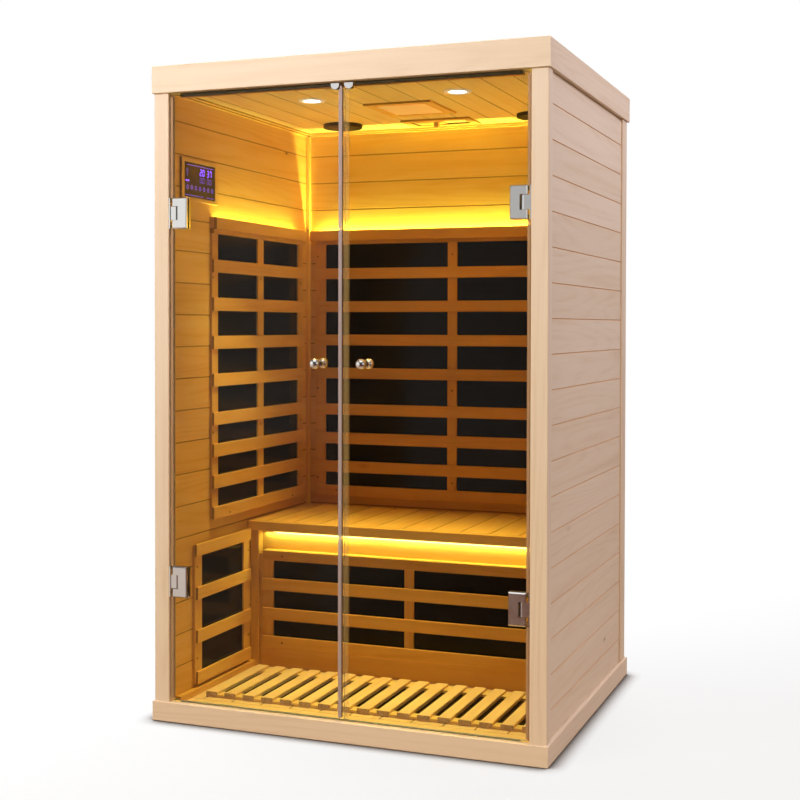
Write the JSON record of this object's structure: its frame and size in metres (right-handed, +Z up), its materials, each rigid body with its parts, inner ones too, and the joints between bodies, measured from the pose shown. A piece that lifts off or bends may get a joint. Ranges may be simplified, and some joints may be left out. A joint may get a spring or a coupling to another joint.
{
  "type": "infrared sauna cabin",
  "caption": "Timber infrared sauna cabin with a pair of hinged glass doors, slatted heater guards, slatted bench, duckboard, cove lights and a wall control panel.",
  "frame": {"origin": "middle of the footprint on the floor, on the underside of the middle floor joist", "axes": "+Z up; the glass front faces -Y; +X to the right seen from the front"},
  "size_m": [1.2, 1.0457, 1.92],
  "materials": {
    "hemlock_outside": "planed, pale, unvarnished",
    "hemlock_inside": "planed, unvarnished",
    "frame_timber": "sawn",
    "roof_board": "plywood",
    "rubber_black": "matt",
    "catch_black": "matt",
    "heater_black": "glossy laminate",
    "light_strip": "lit warm strip",
    "bezel_metal": "satin",
    "lamp_lens": "lit frosted lens",
    "speaker_brown": "perforated",
    "diffuser": "frosted",
    "touch_glass": "glossy black touch face with lit figures",
    "box_metal": "satin",
    "gland_black": "matt",
    "trunking_white": "matt",
    "chrome": "polished",
    "pin_steel": "ground",
    "screw_steel": "bronzed",
    "door_glass": "clear, 8 mm",
    "seal_clear": "translucent"
  },
  "bodies": {
    "cabin": {"base_plinth": "hemlock_outside", "corner_posts": "hemlock_outside", "left_outer_planks": "hemlock_outside", "right_outer_planks": "hemlock_outside", "back_outer_planks": "hemlock_outside", "roof_fascia": "hemlock_outside", "front_header": "hemlock_outside", "floor_boards": "hemlock_inside", "front_sill": "hemlock_inside", "left_inner_planks": "hemlock_inside", "right_inner_planks": "hemlock_inside", "back_inner_planks": "hemlock_inside", "ceiling_planks": "hemlock_inside", "door_stops": "hemlock_inside", "interior_trim": "hemlock_inside", "left_wall_guard": "hemlock_inside", "right_wall_guard": "hemlock_inside", "back_wall_guard": "hemlock_inside", "left_leg_guard": "hemlock_inside", "right_leg_guard": "hemlock_inside", "calf_guard": "hemlock_inside", "ceiling_light_frame": "hemlock_inside", "vent_frame": "hemlock_inside", "control_panel_frame": "hemlock_inside", "bench_boards": "hemlock_inside", "bench_front_rail": "hemlock_inside", "bench_front_panel": "hemlock_inside", "duckboard_slats": "hemlock_inside", "duckboard_battens": "hemlock_inside", "floor_joists": "frame_timber", "wall_studs": "frame_timber", "roof_joists": "frame_timber", "bench_frame": "frame_timber", "roof_panel": "roof_board", "door_gaskets": "rubber_black", "catch_magnets": "catch_black", "heater_panels": "heater_black", "led_strips": "light_strip", "downlight_bezels": "bezel_metal", "downlight_lenses": "lamp_lens", "speaker_rims": "speaker_brown", "speaker_grilles": "speaker_brown", "ceiling_light_diffuser": "diffuser", "control_panel_glass": "touch_glass", "power_box": "box_metal", "cable_gland": "gland_black", "cable_trunking": "trunking_white", "hinge_knuckles": "chrome", "hinge_pins": "pin_steel"},
    "left_door": {"left_door_glass": "door_glass", "left_hinge_clamps": "chrome", "left_door_seals": "seal_clear", "left_door_knob": "chrome", "left_catch_clip": "chrome"},
    "right_door": {"right_door_glass": "door_glass", "right_hinge_clamps": "chrome", "right_door_seals": "seal_clear", "right_door_knob": "chrome", "right_catch_clip": "chrome"},
    "vent_slide_board": {"vent_shutter": "hemlock_inside"}
  },
  "joints": [
    {"name": "left_door_hinge", "type": "hinge", "parent": "cabin", "child": "left_door", "pos_m": [-0.526, -0.4925, 0.951], "axis": [0, 0, -1], "range_deg": [0, 95]},
    {"name": "right_door_hinge", "type": "hinge", "parent": "cabin", "child": "right_door", "pos_m": [0.526, -0.4925, 0.951], "axis": [0, 0, 1], "range_deg": [0, 95]},
    {"name": "vent_slide", "type": "slide", "parent": "cabin", "child": "vent_slide_board", "axis": [1, 0, 0], "range_m": [0, 0.086]}
  ]
}
